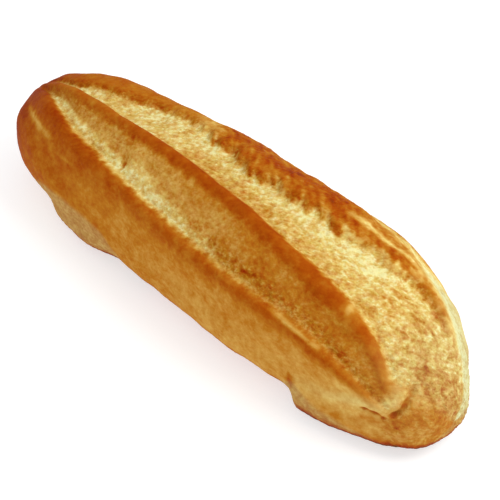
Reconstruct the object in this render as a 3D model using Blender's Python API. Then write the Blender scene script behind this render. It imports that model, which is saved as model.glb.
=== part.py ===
"""A baked eclair of choux pastry, plain and uncut, as it came off the tray.

Metres, +Z up. +X runs along the eclair to its blunt end, +Y to its back, and the origin is on the table under
the middle. A place along the length is a share of half the length, -1 at the slim end and 1 at the blunt end.
A place round the section is an angle in degrees from the top, positive towards the back, or a lane: 0 and 7 are
the middle of the underside, and 1 to 6 are the crests that the star nozzle left, from the front to the back.
"""

import bmesh
import bpy
import numpy as np
from mathutils import Vector, noise

MM = 0.001
LENGTH = 140 * MM

# The section along the length, as (place, size in millimetres)
FRONT_HALF_WIDTH = (
    (-1, 21), (-0.75, 20.5), (-0.5, 20), (-0.25, 18.8), (0, 18.6),
    (0.3, 19.4), (0.5, 18.8), (0.75, 18.6), (1, 19.5),
)
BACK_HALF_WIDTH = (
    (-1, 16.5), (-0.5, 17.6), (-0.25, 19), (0, 21), (0.25, 23.2), (0.5, 25.4), (0.75, 24.2), (1, 17.8),
)
CROWN_HEIGHT = ((-1, 31.5), (-0.75, 34), (-0.5, 34.5), (-0.25, 36), (0.5, 36.5), (0.75, 35), (1, 30))
WIDEST_HEIGHT = ((-1, 13.5), (-0.5, 15), (0.25, 15), (0.5, 14), (0.75, 12), (1, 9))

# The base's half width as a share of the section's
FRONT_BASE_SHARE = ((-1, 0.7), (-0.5, 0.75), (-0.2, 0.62), (0.3, 0.62), (0.6, 0.78), (1, 0.85))
BACK_BASE_SHARE = ((-1, 0.7), (-0.5, 0.72), (0, 0.66), (0.5, 0.75), (1, 0.85))

# The powers that round the ends and the section: the higher, the squarer
SLIM_END_SIDE, SLIM_END_TOP = 2.7, 2.6
BLUNT_END_SIDE, BLUNT_END_TOP = 2.7, 2.3
UPPER_SECTION, LOWER_SECTION = 2.15, 2.7

# Each lane's angle along the length, as (place, degrees): the crests, the edges where the second and third
# crests drop into the valleys behind them, and the edge where the fourth is torn
SECOND_EDGE, THIRD_EDGE, FOURTH_EDGE = 2.2, 3.22, 3.8
LANE_PATHS = (
    (1, ((-1, -58), (-0.85, -66), (-0.5, -100), (0, -112), (1, -108))),
    (2, ((-1, -24), (-0.85, -33), (-0.55, -49), (-0.2, -56), (0.2, -62), (0.6, -62), (0.8, -68), (1, -80))),
    (SECOND_EDGE, (
        (-1, -16), (-0.83, -24), (-0.6, -40), (-0.35, -46), (-0.1, -52), (0.3, -56), (0.55, -54), (0.76, -61),
        (1, -74),
    )),
    (3, (
        (-1, -10), (-0.85, -13), (-0.7, -15), (-0.45, -16), (-0.1, -17), (0.2, -20), (0.42, -24), (0.6, -28),
        (0.7, -30), (0.8, -39), (0.86, -50), (1, -46),
    )),
    (THIRD_EDGE, (
        (-1, -5), (-0.85, -7), (-0.77, -9.5), (-0.6, -9.5), (-0.45, -11), (-0.1, -12), (0.05, -13.5), (0.18, -14.5),
        (0.31, -17), (0.5, -18), (0.63, -20), (0.72, -24), (0.8, -31), (0.86, -42), (1, -36),
    )),
    (FOURTH_EDGE, (
        (-1, 4), (-0.85, -1), (-0.78, -4), (-0.69, -1), (-0.66, 2), (-0.54, 11), (-0.41, 19), (-0.3, 20), (-0.19, 16),
        (-0.02, 10), (0.1, 8), (0.3, 11), (0.5, 15), (0.63, 20), (0.7, 30), (0.85, 33), (1, 33),
    )),
    (4, (
        (-1, 14), (-0.85, 11), (-0.7, 14), (-0.6, 20), (-0.35, 30), (-0.1, 23), (0.1, 20), (0.38, 22), (0.6, 28),
        (0.7, 35), (1, 38),
    )),
    (5, ((-1, 32), (-0.85, 42), (-0.5, 72), (0, 74), (0.6, 78), (1, 80))),
    (6, ((-1, 56), (-0.85, 72), (-0.5, 112), (0, 118), (1, 112))),
)
UNDERSIDE = 180
LANES = 7

# The section's relief, as (lane, lift in millimetres): the crests fall steeply to the back, gently to the front
SECTION_RELIEF = (
    (0, 0), (0.6, 0), (1, 0.35), (1.36, -0.35), (1.8, 0.4),
    (2, 0.9), (2.1, 0.75), (2.28, -0.9), (2.5, -0.9), (2.8, 0.4),
    (3, 1.2), (3.14, 0.95), (3.28, -0.9), (3.6, -1.7), (3.76, -1.2), (3.88, 0.6),
    (4, 1), (4.3, 0.5), (4.5, -0.8), (4.75, -0.3),
    (5, 0.8), (5.25, 0.2), (5.42, -0.9), (5.7, 0),
    (6, 0.4), (6.4, 0), (7, 0),
)
RELIEF_STRENGTH = ((-1, 0), (-0.95, 0.1), (-0.86, 0.7), (-0.7, 1), (0.72, 1), (0.84, 0.55), (0.89, 0.1), (1, 0))

# The share of its depth that each valley has along the length
FRONT_VALLEY = ((-1, 0.4), (-0.6, 1), (0, 1), (0.4, 0.6), (0.7, 0.3), (1, 0.2))
TOP_VALLEY = ((-1, 0.1), (-0.83, 0.25), (-0.65, 0.6), (-0.5, 1), (0.6, 1), (0.8, 0.7), (1, 0.3))

# The torn front edge of the fourth crest
TEAR_SPREAD = 0.16
TEAR_REACH, TEAR_LENGTH = 0.1, (7 * MM, 3 * MM)
TEAR_STRENGTH = ((-1, 0), (-0.5, 0.1), (-0.3, 0.5), (-0.1, 1), (0.6, 1), (0.75, 0.4), (1, 0))

# The foot that spread on the tray, as (place, reach in millimetres)
FRONT_FOOT = (
    (-1, 0), (-0.68, 0), (-0.6, 1.6), (-0.4, 1.1), (-0.28, 0), (0.52, 0), (0.58, 2.6), (0.75, 1.6), (1, 0.9),
)
BACK_FOOT = ((-1, 0), (-0.8, 0), (-0.66, 1.5), (-0.2, 1.2), (-0.1, 0), (0.3, 0), (0.42, 2), (0.8, 2), (1, 0.9))
FOOT_HEIGHT, FOOT_SPREAD = 3.5 * MM, 4 * MM

# The crack where the ridged top stops short of the blunt end, as (place, degrees)
CRACK = (
    (0.79, -86), (0.826, -80), (0.85, -80), (0.87, -80), (0.89, -75),
    (0.908, -66), (0.914, -56), (0.911, -45), (0.906, -36), (0.904, -27),
)
CRACK_WIDTH, CRACK_DEPTH = 1.6 * MM, 1.5 * MM

# The lip of the ridged top beside the crack, as (place, degrees)
LIP = (
    (0.56, -101), (0.68, -94), (0.74, -87), (0.79, -79), (0.83, -73), (0.862, -67),
    (0.884, -58), (0.888, -49), (0.872, -39), (0.85, -28), (0.81, -21), (0.76, -16),
)
LIP_WIDTH, LIP_HEIGHT = 1.9 * MM, 0.35 * MM
LINE_POINTS = 80

# Lumps and dents, as (place, degrees, radius in millimetres, height in millimetres)
LUMPS = (
    (-0.32, 52, 8, -0.8),
    (-0.62, 40, 8, 0.5),
    (0.02, 42, 10, 0.4),
    (0.84, -72, 6, 0.8),
    (0.78, 8, 9, 0.6),
    (0.97, -30, 7, 0.7),
    (0.52, 62, 7, 0.6),
    (0.93, 60, 8, 0.3),
    (-0.7, -80, 9, 0.5),
    (0.1, -80, 10, 0.4),
    (-0.32, -39, 1.6, -0.7),
)

# The crust's unevenness, as (length of a wave in metres, height in metres)
SWELL = (14 * MM, 0.45 * MM)
WRINKLE = (5 * MM, 0.32 * MM)

# The middle of the finished shape's outline from above, which goes over the origin
MIDDLE = (0.18 * MM, 2.51 * MM)

# The mesh
RINGS = 100
STEPS_IN_LANE = (9, 8, 10, 10, 9, 8, 9)
SNAP = 0.15 * MM
CRUST_COLOUR = (0.53, 0.22, 0.035, 1)
CRUST_ROUGHNESS = 0.55


def curve_through(points, at):
    """A smooth curve through the points that never overshoots them."""
    knots, values = np.array(points, float).T
    spans = np.diff(knots)
    climbs = np.diff(values) / spans
    product, total = climbs[:-1] * climbs[1:], climbs[:-1] + climbs[1:]
    slopes = np.zeros(len(knots))
    slopes[1:-1] = np.where(product > 0, 2 * product / np.where(total == 0, 1, total), 0)
    cell = np.clip(np.searchsorted(knots, at, side="right") - 1, 0, len(spans) - 1)
    t = np.clip((at - knots[cell]) / spans[cell], 0, 1)
    ease = t * t * (3 - 2 * t)
    leave, arrive = t * (1 - t) ** 2, t * t * (1 - t)
    bend = spans[cell] * (leave * slopes[cell] - arrive * slopes[cell + 1])
    return values[cell] * (1 - ease) + values[cell + 1] * ease + bend


def sided(front, front_table, back_table, place):
    """The front table's value where front is true, and the back table's elsewhere."""
    return np.where(front, curve_through(front_table, place), curve_through(back_table, place))


def bump(x):
    return np.exp(-x * x)


def end_rounding(place, slim_power, blunt_power):
    """1 along the middle, falling to 0 at both ends."""
    power = np.where(place < 0, slim_power, blunt_power)
    return np.clip(1 - np.abs(place) ** power, 0, 1) ** (1 / power)


def section(place, degrees):
    """Points of the plain body, without its relief, for arrays of places and angles."""
    angle = np.radians(degrees)
    front = angle < 0
    upper = np.cos(angle) > 0
    side_end = end_rounding(place, SLIM_END_SIDE, BLUNT_END_SIDE)
    top_end = end_rounding(place, SLIM_END_TOP, BLUNT_END_TOP)
    centre = curve_through(WIDEST_HEIGHT, place) * MM
    crown = curve_through(CROWN_HEIGHT, place) * MM
    half_width = sided(front, FRONT_HALF_WIDTH, BACK_HALF_WIDTH, place) * MM
    base_share = sided(front, FRONT_BASE_SHARE, BACK_BASE_SHARE, place)
    under = centre * (1 - base_share**LOWER_SECTION) ** (-1 / LOWER_SECTION)
    tall = np.where(upper, (crown - centre) * top_end, under * side_end)
    wide = half_width * side_end
    power = np.where(upper, UPPER_SECTION, LOWER_SECTION)
    inverse = (np.abs(np.sin(angle)) / wide) ** power + (np.abs(np.cos(angle)) / tall) ** power
    radius = inverse ** (-1 / power)
    return np.stack([place * LENGTH / 2, radius * np.sin(angle), centre + radius * np.cos(angle)], axis=-1)


def ring_places(count):
    """Places of the rings, evenly spaced over the crown's own curve from end to end."""
    fine = -np.cos(np.linspace(0, np.pi, 40 * count))[1:-1]
    profile = section(fine, np.zeros_like(fine))
    walked = np.concatenate([[0], np.cumsum(np.linalg.norm(np.diff(profile, axis=0), axis=1))])
    return np.interp(np.linspace(0, walked[-1], count + 2)[1:-1], walked, fine)


def lane_samples(steps_in_lane):
    """The lanes' sample points, once round the section without closing it."""
    return np.concatenate([lane + np.arange(steps) / steps for lane, steps in enumerate(steps_in_lane)])


def angles_of(place, lanes):
    """The angle of each lane sample at one place."""
    knots = [(lane, float(curve_through(path, np.array(place)))) for lane, path in LANE_PATHS]
    return curve_through(((0, -UNDERSIDE), *knots, (LANES, UNDERSIDE)), lanes)


def normals_of(points):
    """Outward normals of a grid of rings that closes round the section."""
    along = np.gradient(points, axis=0)
    around = np.roll(points, -1, axis=1) - np.roll(points, 1, axis=1)
    normals = np.cross(along, around)
    return normals / np.linalg.norm(normals, axis=-1, keepdims=True)


def noise_at(points, wave, seed):
    """Smooth noise, about -1 to 1, at each point."""
    offset = Vector((seed, 2 * seed, 3 * seed))
    flat = points.reshape(-1, 3) / wave
    values = [noise.noise(Vector(point) + offset) for point in flat]
    return np.array(values).reshape(points.shape[:-1])


def nozzle_relief(place, lane):
    """The crests and valleys, whose fourth crest has a torn front edge."""
    along = np.stack([place * LENGTH / 2, 0 * place, 0 * place], axis=-1)
    teeth = sum(noise_at(along, length, seed) for seed, length in enumerate(TEAR_LENGTH, start=11))
    reach = TEAR_REACH * teeth * curve_through(TEAR_STRENGTH, place)
    torn = lane + reach * bump((lane - FOURTH_EDGE) / TEAR_SPREAD)
    lift = curve_through(SECTION_RELIEF, torn) * curve_through(RELIEF_STRENGTH, place)
    front, top = curve_through(FRONT_VALLEY, place), curve_through(TOP_VALLEY, place)
    depth = np.where(torn < 3, front, np.where(torn < 4, top, 1))
    return np.where(lift < 0, lift * depth, lift) * MM


def foot_relief(place, points):
    reach = sided(points[..., 1] < 0, FRONT_FOOT, BACK_FOOT, place)
    return reach * MM * bump((points[..., 2] - FOOT_HEIGHT) / FOOT_SPREAD)


def along_line(points, path, width):
    """1 along the line through (place, degrees) points, falling to 0 beside it and towards its ends."""
    places, degrees = np.array(path, float).T
    share = np.linspace(0, 1, LINE_POINTS)
    knots = np.linspace(0, 1, len(path))
    line = section(np.interp(share, knots, places), np.interp(share, knots, degrees))
    nearness = np.zeros(points.shape[:-1])
    for point, depth in zip(line, np.sqrt(np.sin(np.pi * share))):
        distance = np.linalg.norm(points - point, axis=-1)
        nearness = np.maximum(nearness, depth * bump(distance / width))
    return nearness


def crack_relief(points):
    """The crack, and the lip beside it."""
    lip, crack = along_line(points, LIP, LIP_WIDTH), along_line(points, CRACK, CRACK_WIDTH)
    return LIP_HEIGHT * lip - CRACK_DEPTH * crack


def lump_relief(points):
    relief = np.zeros(points.shape[:-1])
    for place, degrees, radius, height in LUMPS:
        centre = section(np.array(float(place)), np.array(float(degrees)))
        distance = np.linalg.norm(points - centre, axis=-1)
        relief += height * MM * bump(distance / (radius * MM))
    return relief


def crust_relief(points):
    swell_wave, swell_height = SWELL
    wrinkle_wave, wrinkle_height = WRINKLE
    return swell_height * noise_at(points, swell_wave, 1) + wrinkle_height * noise_at(points, wrinkle_wave, 2)


def eclair_points():
    """The grid of points round the eclair, and its two end points."""
    lanes = lane_samples(STEPS_IN_LANE)
    places = ring_places(RINGS)
    degrees = np.array([angles_of(place, lanes) for place in places])
    place = np.repeat(places[:, None], len(lanes), axis=1)
    lane = np.repeat(lanes[None, :], len(places), axis=0)
    body = section(place, degrees)
    normals = normals_of(body)
    lift = nozzle_relief(place, lane) + foot_relief(place, body) + crack_relief(body)
    lift += lump_relief(body) + crust_relief(body)
    points = body + normals * lift[..., None]
    ends = [Vector(points[end].mean(axis=0)) for end in (0, -1)]
    ends[0].x, ends[1].x = -LENGTH / 2, LENGTH / 2
    return points, ends


def add_skin(bm, points, ends):
    """Faces between the rings, and a fan of triangles over each end."""
    rings = [[bm.verts.new(point) for point in ring] for ring in points]
    around = len(rings[0])
    for ring, following in zip(rings, rings[1:]):
        for i in range(around):
            j = (i + 1) % around
            bm.faces.new((ring[i], ring[j], following[j], following[i]))
    slim, blunt = (bm.verts.new(end) for end in ends)
    for i in range(around):
        j = (i + 1) % around
        bm.faces.new((slim, rings[0][j], rings[0][i]))
        bm.faces.new((blunt, rings[-1][i], rings[-1][j]))


def cut_flat_base(bm):
    """Cuts off what is below the table and closes the cut with one flat face."""
    for vert in bm.verts:
        if abs(vert.co.z) < SNAP:
            vert.co.z = 0
    everything = bm.verts[:] + bm.edges[:] + bm.faces[:]
    bmesh.ops.bisect_plane(bm, geom=everything, dist=0.01 * SNAP, plane_no=(0, 0, -1), clear_outer=True)
    rim = [edge for edge in bm.edges if edge.is_boundary]
    bmesh.ops.edgeloop_fill(bm, edges=rim)
    bmesh.ops.recalc_face_normals(bm, faces=bm.faces[:])


def crust_material():
    material = bpy.data.materials.new("baked crust")
    material.use_nodes = True
    shader = material.node_tree.nodes["Principled BSDF"]
    shader.inputs["Base Color"].default_value = CRUST_COLOUR
    shader.inputs["Roughness"].default_value = CRUST_ROUGHNESS
    shader.inputs["Metallic"].default_value = 0
    return material


def make_eclair():
    bm = bmesh.new()
    add_skin(bm, *eclair_points())
    cut_flat_base(bm)
    bmesh.ops.translate(bm, verts=bm.verts[:], vec=(-MIDDLE[0], -MIDDLE[1], 0))
    mesh = bpy.data.meshes.new("eclair")
    bm.to_mesh(mesh)
    bm.free()
    mesh.shade_smooth()
    mesh.materials.append(crust_material())
    eclair = bpy.data.objects.new("eclair", mesh)
    bpy.context.scene.collection.objects.link(eclair)
    return eclair


def clear_scene():
    for thing in list(bpy.data.objects):
        bpy.data.objects.remove(thing)


def main():
    clear_scene()
    make_eclair()


main()
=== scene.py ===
"""A plain baked eclair of choux pastry on a pale table, laid out as an add-on.

Metres, +Z up. +X runs along the eclair to its blunt end, +Y to its back. A place along the length is a
share of half the length, -1 at the slim end and 1 at the blunt end. A place round the section is an angle
in degrees from the top, positive towards the back, or a lane: 0 and 7 are the middle of the underside, and
1 to 6 are the crests that the star nozzle left, from the front to the back. Browning runs from 0, pale
dough, over 1, the darkest crust, to SCORCHED_AND_SHADED, the base's baked edge darkened further with painted
contact shade. A step is (where it starts, where it is full).
"""

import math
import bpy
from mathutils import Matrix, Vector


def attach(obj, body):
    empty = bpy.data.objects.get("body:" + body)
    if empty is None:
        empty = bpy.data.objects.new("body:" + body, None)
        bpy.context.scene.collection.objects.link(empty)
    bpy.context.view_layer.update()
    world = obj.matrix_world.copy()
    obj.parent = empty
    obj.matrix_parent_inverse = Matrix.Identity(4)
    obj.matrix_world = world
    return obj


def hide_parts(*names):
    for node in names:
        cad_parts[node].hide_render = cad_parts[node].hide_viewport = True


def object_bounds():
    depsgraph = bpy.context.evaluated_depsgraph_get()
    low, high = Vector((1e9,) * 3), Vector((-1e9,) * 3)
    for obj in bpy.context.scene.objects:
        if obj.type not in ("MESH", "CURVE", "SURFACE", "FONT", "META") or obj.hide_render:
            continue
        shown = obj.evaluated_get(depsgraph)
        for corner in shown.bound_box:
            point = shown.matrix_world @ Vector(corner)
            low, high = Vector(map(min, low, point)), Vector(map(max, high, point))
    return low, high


bl_info = {
    "name": "Baked Eclair",
    "version": (1, 0, 0),
    "blender": (4, 5, 0),
    "location": "View3D > Sidebar > Eclair",
    "description": "Bakes a plain eclair's crust and sets it in soft studio light",
    "category": "Add Mesh",
}

import bmesh
import bpy
import numpy as np
from bpy.props import FloatProperty, FloatVectorProperty, IntProperty, PointerProperty
from bpy.types import Operator, Panel, PropertyGroup
from mathutils import Matrix, Vector, noise

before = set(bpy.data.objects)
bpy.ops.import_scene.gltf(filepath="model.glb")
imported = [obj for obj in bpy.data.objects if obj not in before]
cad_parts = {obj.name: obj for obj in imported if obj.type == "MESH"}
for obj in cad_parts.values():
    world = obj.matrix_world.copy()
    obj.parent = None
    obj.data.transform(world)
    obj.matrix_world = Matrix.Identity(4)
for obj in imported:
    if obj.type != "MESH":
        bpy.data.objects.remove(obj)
CAD_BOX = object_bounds()

MM = 0.001
PIECE_NAME, CAD_NODE, BODY, CRUST_SLOT = "crust", "eclair", "root", "crust"

# The body, as in the part: tables of (place, size in millimetres)
FRONT_HALF_WIDTH = (
    (-1, 21), (-0.75, 20.5), (-0.5, 20), (-0.25, 18.8), (0, 18.6), (0.3, 19.4), (0.5, 18.8), (0.75, 18.6),
    (1, 19.5),
)
BACK_HALF_WIDTH = (
    (-1, 16.5), (-0.5, 17.6), (-0.25, 19), (0, 21), (0.25, 23.2), (0.5, 25.4), (0.75, 24.2), (1, 17.8),
)
CROWN_HEIGHT = ((-1, 31.5), (-0.75, 34), (-0.5, 34.5), (-0.25, 36), (0.5, 36.5), (0.75, 35), (1, 30))
WIDEST_HEIGHT = ((-1, 13.5), (-0.5, 15), (0.25, 15), (0.5, 14), (0.75, 12), (1, 9))

# The base's half width as a share of the section's
FRONT_BASE_SHARE = ((-1, 0.7), (-0.5, 0.75), (-0.2, 0.62), (0.3, 0.62), (0.6, 0.78), (1, 0.85))
BACK_BASE_SHARE = ((-1, 0.7), (-0.5, 0.72), (0, 0.66), (0.5, 0.75), (1, 0.85))

# The powers that round the ends and the section
SLIM_END_SIDE, SLIM_END_TOP = 2.7, 2.6
BLUNT_END_SIDE, BLUNT_END_TOP = 2.7, 2.3
UPPER_SECTION, LOWER_SECTION = 2.15, 2.7

# The lanes' angles along the length, as (lane, (place, degrees) ...): the crests, and the lines where the
# second and third crests drop into the valleys behind them and where the fourth is torn
THIRD_CREST, FOURTH_CREST = 3, 4
SECOND_EDGE, THIRD_EDGE, FOURTH_EDGE = 2.2, 3.22, 3.8
LANE_PATHS = (
    (1, ((-1, -58), (-0.85, -66), (-0.5, -100), (0, -112), (1, -108))),
    (2, ((-1, -24), (-0.85, -33), (-0.55, -49), (-0.2, -56), (0.2, -62), (0.6, -62), (0.8, -68), (1, -80))),
    (SECOND_EDGE, (
        (-1, -16), (-0.83, -24), (-0.6, -40), (-0.35, -46), (-0.1, -52), (0.3, -56), (0.55, -54),
        (0.76, -61), (1, -74),
    )),
    (THIRD_CREST, (
        (-1, -10), (-0.85, -13), (-0.7, -15), (-0.45, -16), (-0.1, -17), (0.2, -20), (0.42, -24),
        (0.6, -28), (0.7, -30), (0.8, -39), (0.86, -50), (1, -46),
    )),
    (THIRD_EDGE, (
        (-1, -5), (-0.85, -7), (-0.77, -9.5), (-0.6, -9.5), (-0.45, -11), (-0.1, -12), (0.05, -13.5),
        (0.18, -14.5), (0.31, -17), (0.5, -18), (0.63, -20), (0.72, -24), (0.8, -31), (0.86, -42), (1, -36),
    )),
    (FOURTH_EDGE, (
        (-1, 4), (-0.85, -1), (-0.78, -4), (-0.69, -1), (-0.66, 2), (-0.54, 11), (-0.41, 19), (-0.3, 20),
        (-0.19, 16), (-0.02, 10), (0.1, 8), (0.3, 11), (0.5, 15), (0.63, 20), (0.7, 30), (0.85, 33), (1, 33),
    )),
    (FOURTH_CREST, (
        (-1, 14), (-0.85, 11), (-0.7, 14), (-0.6, 20), (-0.35, 30), (-0.1, 23), (0.1, 20), (0.38, 22),
        (0.6, 28), (0.7, 35), (1, 38),
    )),
    (5, ((-1, 32), (-0.85, 42), (-0.5, 72), (0, 74), (0.6, 78), (1, 80))),
    (6, ((-1, 56), (-0.85, 72), (-0.5, 112), (0, 118), (1, 112))),
)
UNDERSIDE = 180
LANES = 7

# The section's relief, as (lane, lift in millimetres)
SECTION_RELIEF = (
    (0, 0), (0.6, 0), (1, 0.35), (1.36, -0.35), (1.8, 0.4),
    (2, 0.9), (2.1, 0.75), (2.28, -0.9), (2.5, -0.9), (2.8, 0.4),
    (3, 1.2), (3.14, 0.95), (3.28, -0.9), (3.6, -1.7), (3.76, -1.2), (3.88, 0.6),
    (4, 1), (4.3, 0.5), (4.5, -0.8), (4.75, -0.3),
    (5, 0.8), (5.25, 0.2), (5.42, -0.9), (5.7, 0),
    (6, 0.4), (6.4, 0), (7, 0),
)
RELIEF_STRENGTH = (
    (-1, 0), (-0.95, 0.1), (-0.86, 0.7), (-0.7, 1), (0.72, 1), (0.84, 0.55), (0.89, 0.1), (1, 0),
)

# The share of its depth that each valley has along the length
FRONT_VALLEY = ((-1, 0.4), (-0.6, 1), (0, 1), (0.4, 0.6), (0.7, 0.3), (1, 0.2))
TOP_VALLEY = ((-1, 0.1), (-0.83, 0.25), (-0.65, 0.6), (-0.5, 1), (0.6, 1), (0.8, 0.7), (1, 0.3))

# The torn front edge of the fourth crest: its width and how far it is torn, in lanes, and its teeth's waves
TEAR_SPREAD = 0.16
TEAR_REACH, TEAR_WAVES = 0.1, (7 * MM, 3 * MM)
TEAR_STRENGTH = ((-1, 0), (-0.5, 0.1), (-0.3, 0.5), (-0.1, 1), (0.6, 1), (0.75, 0.4), (1, 0))

# How far that edge is split, and how much farther its brown fibres reach into the valley, in lanes
SPLIT_REACH, FIBRE_REACH = 0.05, 0.16
SPLIT_SIZE = (5 * MM, 1.3 * MM)
SPLIT_STRENGTH = ((-1, 0), (-0.4, 0.1), (-0.2, 0.7), (-0.1, 1), (0.4, 1), (0.6, 0.5), (0.72, 0.2), (1, 0))

# The foot that spread on the tray, as (place, reach in millimetres)
FRONT_FOOT = (
    (-1, 0), (-0.68, 0), (-0.6, 1.6), (-0.4, 1.1), (-0.28, 0), (0.52, 0), (0.58, 2.6), (0.75, 1.6), (1, 0.9),
)
BACK_FOOT = (
    (-1, 0), (-0.8, 0), (-0.66, 1.5), (-0.2, 1.2), (-0.1, 0), (0.3, 0), (0.42, 2), (0.8, 2), (1, 0.9),
)
FOOT_HEIGHT, FOOT_SPREAD = 3.5 * MM, 4 * MM

# The crack where the ridged top stops short of the blunt end, as (place, degrees), and how ragged it is:
# its strength is an evenness and a share of a noise, kept within limits
CRACK = (
    (0.79, -86), (0.826, -80), (0.85, -80), (0.87, -80), (0.89, -75),
    (0.908, -66), (0.914, -56), (0.911, -45), (0.906, -36), (0.904, -27),
)
CRACK_WIDTH, CRACK_DEPTH = 0.8 * MM, 1 * MM
CRACK_EVENNESS, CRACK_RAGGEDNESS, CRACK_LIMITS, CRACK_WAVE = 0.9, 1.1, (0.15, 1.4), 2 * MM
LINE_POINTS = 80

# The pale lip of the ridged top, between its brown end and the crack, as (place, degrees)
LIP = (
    (0.56, -101), (0.68, -94), (0.74, -87), (0.79, -79), (0.83, -73), (0.862, -67),
    (0.884, -58), (0.888, -49), (0.872, -39), (0.85, -28), (0.81, -21), (0.76, -16),
)
LIP_WIDTH, LIP_HEIGHT = 1.9 * MM, 0.35 * MM

# Thin lines on the crust, as (browning, strength, width in millimetres, (place, degrees) ...)
LINES = (
    (0.1, 0.8, 2, ((0.68, 22), (0.73, 26), (0.78, 27), (0.83, 26), (0.88, 27))),
    (0.58, 1, 1.4, ((0.65, 26), (0.7, 31), (0.74, 33.5), (0.78, 34), (0.82, 33), (0.87, 34))),
    (0.3, 0.8, 0.95, ((-0.88, -48), (-0.84, -50), (-0.78, -52), (-0.7, -54), (-0.63, -57))),
    (0.45, 0.6, 0.5, ((-0.6, -62), (-0.54, -61), (-0.47, -62))),
    (0.4, 0.45, 1.6, ((-0.12, -89), (0.02, -93), (0.16, -98), (0.31, -97))),
    (0.2, 0.8, 0.5, ((0.44, -56), (0.51, -57), (0.571, -57.5), (0.634, -58))),
    (0.2, 0.8, 0.9, ((0.645, -16), (0.655, -24), (0.668, -30))),
    (0.92, 0.9, 0.55, ((0.28, -49.5), (0.3, -49), (0.323, -48), (0.341, -46), (0.36, -44.5))),
    (0.85, 0.8, 0.45, ((0.77, 10), (0.79, 11), (0.82, 9), (0.825, 14))),
    (0.7, 0.7, 0.6, ((0.8, 16), (0.83, 19), (0.86, 18))),
)

# Patches of another browning, as (place, degrees, radius in millimetres, browning, strength)
PATCHES = (
    (0.54, -104, 1.3, 0.95, 0.8),
    (0.895, -12, 1.1, 0.85, 0.8),
    (0.85, -6, 2.2, 0.5, 0.5),
    (0.79, 14, 2.6, 0.42, 0.5),
    (0.73, 2, 2.4, 0.4, 0.4),
    (0.945, -22, 3.5, 0.52, 0.6),
    (0.982, -48, 3, 0.62, 0.6),
    (0.99, 5, 3, 0.6, 0.4),
    (0.912, -86, 0.6, 0.95, 0.8),
    (0.83, -60, 2.6, 0.7, 0.7),
    (-0.21, 25, 3.2, 0.25, 0.8),
    (-0.32, -39, 0.7, 0.85, 0.9),
    (-0.55, 8, 2, 0.6, 0.6),
    (-0.25, 12, 1, 0.65, 0.7),
    (-0.47, -50, 4, 0.92, 0.5),
    (-0.66, -42, 3.5, 0.9, 0.5),
)

# Lumps and dents, as (place, degrees, radius in millimetres, height in millimetres)
LUMPS = (
    (-0.32, 52, 8, -0.8),
    (-0.62, 40, 8, 0.5),
    (0.02, 42, 10, 0.4),
    (0.84, -72, 6, 0.8),
    (0.78, 8, 9, 0.6),
    (0.97, -30, 7, 0.7),
    (0.52, 62, 7, 0.6),
    (0.93, 60, 8, 0.3),
    (-0.7, -80, 9, 0.5),
    (0.1, -80, 10, 0.4),
    (-0.32, -39, 1.6, -0.7),
)

# The crust's unevenness, as (length of a wave, height)
SWELL = (14 * MM, 0.45 * MM)
WRINKLE = (5 * MM, 0.32 * MM)

# The middle of the finished shape's outline from above, which goes over the origin
MIDDLE = (0.18 * MM, 2.51 * MM)

# The spacing round the section, as (share of the steps, degrees): wider under the base
SPACING = ((0, -180), (0.085, -126), (0.915, 126), (1, 180))

# How much finer than the rings and the lanes the curves are that place them
RING_FINENESS, LANE_FINENESS = 40, 100

# A seed for each noise; the waves of the tear count up from theirs
SEEDS = {
    "swell": 1, "wrinkle": 2, "tear": 11, "splits": 13, "broad": 21, "fine": 22, "finest": 23, "fibres": 24,
    "wisps": 25, "blotches": 26, "folds": 31, "grains": 32, "cross folds": 33, "crack": 41,
}

# The waves of the noises that mottle the browning, and their shares of the wobble of its edges, in lanes
BROAD_WAVE, FINE_WAVE, FINEST_WAVE = 5 * MM, 1.7 * MM, 0.95 * MM
BROAD_WOBBLE, FINE_WOBBLE, FINEST_WOBBLE = 0.035, 0.035, 0.02

# The way that the torn edge's fibres and the valleys' folds lean, in degrees from +X towards the back
FIBRE_LEAN, VALLEY_LEAN = 137, 30

# The browning of the base's darkest edge: baked, and darkened further with painted contact shade
SCORCHED_AND_SHADED = 1.2

# The browning along the length, as (place, browning)
FLANK_BROWNING = ((-1, 0.84), (-0.7, 0.73), (-0.3, 0.59), (0, 0.53), (0.4, 0.52), (0.75, 0.45), (1, 0.42))
SECOND_BROWNING = (
    (-1, 0.88), (-0.7, 0.84), (-0.2, 0.78), (0.1, 0.76), (0.4, 0.79), (0.6, 0.8), (0.8, 0.68), (1, 0.45),
)
THIRD_BROWNING = (
    (-1, 0.8), (-0.7, 0.7), (-0.45, 0.74), (-0.2, 0.84), (0, 0.86), (0.3, 0.86), (0.5, 0.82), (0.65, 0.82),
    (0.7, 0.78), (0.78, 0.72), (0.86, 0.6), (1, 0.45),
)
FOURTH_BROWNING = (
    (-1, 0.84), (-0.7, 0.72), (-0.45, 0.66), (-0.3, 0.62), (-0.1, 0.77), (0.2, 0.8), (0.4, 0.79),
    (0.64, 0.76), (0.7, 0.3), (1, 0.25),
)
SLOPE_BROWNING = ((-1, 0.68), (-0.6, 0.44), (-0.2, 0.42), (0.1, 0.49), (0.5, 0.61), (0.8, 0.56), (1, 0.5))
FRONT_VALLEY_BROWNING = (
    (-1, 0.5), (-0.8, 0.21), (-0.6, 0.1), (-0.1, 0.13), (0.2, 0.3), (0.6, 0.42), (1, 0.5),
)
TOP_VALLEY_BROWNING = (
    (-1, 0.5), (-0.84, 0.22), (-0.7, 0.19), (-0.55, 0.15), (-0.3, 0.16), (-0.05, 0.33), (0.15, 0.36),
    (0.35, 0.27), (0.7, 0.23), (0.86, 0.27), (1, 0.34),
)

# The browning round the hidden back, as (lane, browning)
BACK_BROWNING = (
    (4, 0.62), (4.3, 0.58), (4.46, 0.24), (4.66, 0.3), (4.9, 0.8), (5.24, 0.78), (5.36, 0.24), (5.5, 0.34),
    (5.8, 0.66),
)
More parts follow.
